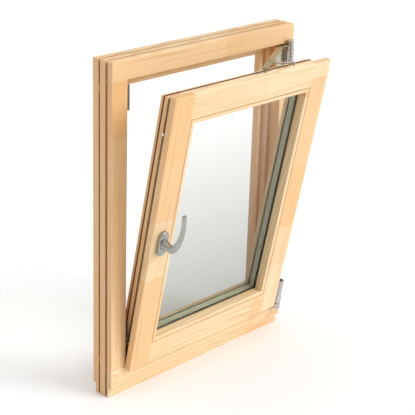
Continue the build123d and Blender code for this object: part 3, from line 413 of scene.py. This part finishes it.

# ---- The sash's locking gear ----
# Face plates let into the edge of the sash, drive rods behind them with round cams, corner
# drives, and the gearbox the handle's spindle turns.
# Painted shade: the face plates, corner drives and their screws are coloured dark brown to stand for the
# shade inside the sash's edge.
face_plate_steel_painted_shade = plated("dark steel with painted shade", (0.20, 0.135, 0.075), (0.13, 0.085, 0.045), 0.7, 0.5,
                      metallic=0.5)
dress(["side_face_plate", "stay_guide_plate", "bottom_face_plate", "corner_drive_upper",
       "corner_drive_lower", "face_plate_screws"], face_plate_steel_painted_shade)
dress(["gearbox_case", "drive_pinion", "side_drive_rod", "top_drive_rod", "bottom_drive_rod",
       "handle_spindle", "handle_screws"], zinc_plate)

# ---- The stay ----
# A cranked arm of yellow-passivated steel that holds the tilted sash at the top, and a short
# link of bright steel that steadies it, both on studs in the sash's guide rail.
dress(["stay_arm", "stay_stud", "link_rivet"],
      plated("passivated steel", (0.47, 0.455, 0.33), (0.40, 0.31, 0.17), 0.7, 0.32))
dress(["support_link"], plated("bright steel", (0.66, 0.68, 0.72), (0.55, 0.56, 0.60), 0.5, 0.28))
dress(["stay_arm_cap"], silver_cover)

# ---- The corner band ----
# The sash-side lower hinge: a cranked band screwed to the hinge stile, its pin, and the cover.
dress(["tilt_pin", "corner_band", "corner_band_screws"], zinc_plate)
dress(["corner_band_cap"], silver_cover)
dress(["corner_band_plug"], rubber("dark grey plug", (0.05, 0.05, 0.045), 0.5))

# ---- The handle ----
# A satin silver lever on an obround rosette; its square spindle turns the gearbox's pinion.
satin_silver = plated("satin silver", (0.41, 0.415, 0.385), (0.33, 0.335, 0.31), 0.35, 0.31)
dress(["rosette_base", "rosette_cover", "handle_lever"], satin_silver)

# ---- Floor, light and camera ----
# A plain white floor, an even white room, one broad soft light from the front right, and a long
# lens from the front left at standing height.
floor_reach = 30.0
floor_drop = 0.0005
bpy.ops.object.select_all(action="DESELECT")
bpy.ops.mesh.primitive_plane_add(size=2 * floor_reach, location=(0.0, 0.0, -floor_drop))
floor = bpy.context.active_object
floor.name = "studio floor"
bpy.ops.object.transform_apply(location=True, rotation=True, scale=True)
floor_paint = bpy.data.materials.new("white floor")
floor_paint.use_nodes = True
floor_shader = floor_paint.node_tree.nodes["Principled BSDF"]
floor_shader.inputs["Base Color"].default_value = (0.95, 0.95, 0.95, 1.0)
floor_shader.inputs["Roughness"].default_value = 0.9
floor.data.materials.append(floor_paint)

grey_wall = (0.36, 0.36, 0.37, 1.0)
white_ceiling = (1.05, 1.05, 1.05, 1.0)
room = bpy.data.worlds.new("white room")
room.use_nodes = True
bpy.context.scene.world = room
room_light = room.node_tree.nodes["Background"]
room_tree = room.node_tree
sky_parts = room_tree.nodes.new("ShaderNodeSeparateXYZ")
direction = room_tree.nodes.new("ShaderNodeTexCoord").outputs["Generated"]
room_tree.links.new(direction, sky_parts.inputs[0])
wall_to_ceiling = ramp(room_tree, sky_parts.outputs[2], 0.05, 0.75)
room_colour = between(room_tree, wall_to_ceiling, grey_wall, white_ceiling)
room_tree.links.new(room_colour, room_light.inputs["Color"])
room_light.inputs["Strength"].default_value = 0.93

light_from = Vector((0.42, -0.80, 0.52))
light_spread = math.radians(35.0)
key = bpy.data.objects.new("key light", bpy.data.lights.new("key light", "SUN"))
key.data.energy = 1.75
key.data.angle = light_spread
key.rotation_euler = light_from.to_track_quat("Z", "Y").to_euler()
bpy.context.scene.collection.objects.link(key)

eye = Vector((-2.2374, -2.1214, 1.6189))
aim = Vector((0.0472, 0.0, 0.4230))
roll = math.radians(1.88)
lens_length = 108.1
film_width = 36.0
camera = bpy.data.objects.new("camera", bpy.data.cameras.new("camera"))
camera.data.lens = lens_length
camera.data.sensor_width = film_width
camera.location = eye
upright = (aim - eye).to_track_quat("-Z", "Y")
camera.rotation_euler = (upright @ Matrix.Rotation(roll, 3, "Z").to_quaternion()).to_euler()
bpy.context.scene.collection.objects.link(camera)
bpy.context.scene.camera = camera
bpy.context.scene.view_settings.view_transform = "Standard"
